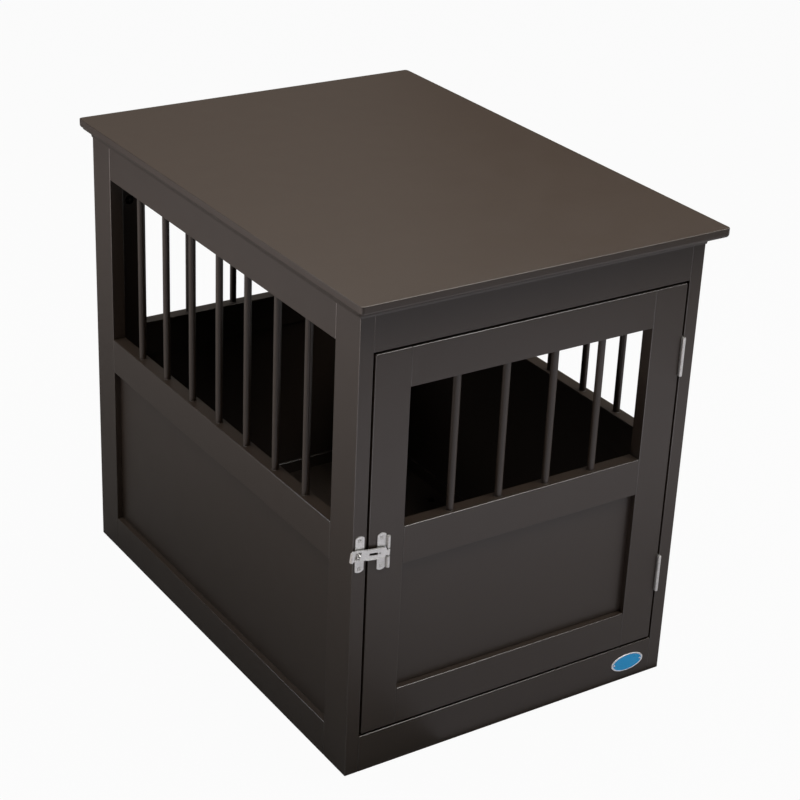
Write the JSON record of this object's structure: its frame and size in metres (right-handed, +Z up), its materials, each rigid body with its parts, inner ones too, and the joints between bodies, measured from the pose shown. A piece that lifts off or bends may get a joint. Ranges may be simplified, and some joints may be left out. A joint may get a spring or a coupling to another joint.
{
  "type": "wooden pet crate table",
  "caption": "Low side table with framed panels and dowel-bar windows that houses a small pet, with a hinged front door and a hasp latch.",
  "frame": {"origin": "on the floor, under the middle of the table top's outline", "axes": "+Z up, -Y towards the front with the door, +X to the right as seen from the front"},
  "size_m": [0.502, 0.688, 0.61],
  "materials": {
    "painted_wood": "satin espresso paint on wood",
    "beech": "bare beech",
    "zinc_plate": "bright zinc plate",
    "badge_blue": "gloss, blank"
  },
  "bodies": {
    "crate": {"top_board": "painted_wood", "front_moulding": "painted_wood", "rear_moulding": "painted_wood", "left_moulding": "painted_wood", "right_moulding": "painted_wood", "left_front_stile": "painted_wood", "left_rear_stile": "painted_wood", "left_top_rail": "painted_wood", "left_mid_rail": "painted_wood", "left_bottom_rail": "painted_wood", "left_panel": "painted_wood", "left_bars": "painted_wood", "right_front_stile": "painted_wood", "right_rear_stile": "painted_wood", "right_top_rail": "painted_wood", "right_mid_rail": "painted_wood", "right_bottom_rail": "painted_wood", "right_panel": "painted_wood", "right_bars": "painted_wood", "rear_left_stile": "painted_wood", "rear_right_stile": "painted_wood", "rear_top_rail": "painted_wood", "rear_mid_rail": "painted_wood", "rear_bottom_rail": "painted_wood", "rear_panel": "painted_wood", "rear_bars": "painted_wood", "front_top_rail": "painted_wood", "front_bottom_rail": "painted_wood", "floor_board": "painted_wood", "frame_dowels": "beech", "cam_discs": "zinc_plate", "cam_bolts": "zinc_plate", "hinge_frame_leaves": "zinc_plate", "hinge_pins": "zinc_plate", "hinge_frame_screws": "zinc_plate", "keeper_plate": "zinc_plate", "keeper_screws": "zinc_plate", "badge": "badge_blue"},
    "door": {"door_latch_stile": "painted_wood", "door_hinge_stile": "painted_wood", "door_top_rail": "painted_wood", "door_mid_rail": "painted_wood", "door_bottom_rail": "painted_wood", "door_panel": "painted_wood", "door_bars": "painted_wood", "door_dowels": "beech", "hinge_door_leaves": "zinc_plate", "hinge_door_screws": "zinc_plate", "latch_base_plate": "zinc_plate", "latch_base_screws": "zinc_plate", "latch_pin": "zinc_plate"},
    "strap": {"latch_strap": "zinc_plate"}
  },
  "joints": [
    {"name": "door_hinge", "type": "hinge", "parent": "crate", "child": "door", "pos_m": [0.2165, -0.3224, 0.296], "axis": [0, 0, 1], "range_deg": [0, 175]},
    {"name": "strap_hinge", "type": "hinge", "parent": "door", "child": "strap", "pos_m": [-0.1904, -0.32245, 0.2935], "axis": [0, 0, 1], "range_deg": [0, 170]}
  ]
}
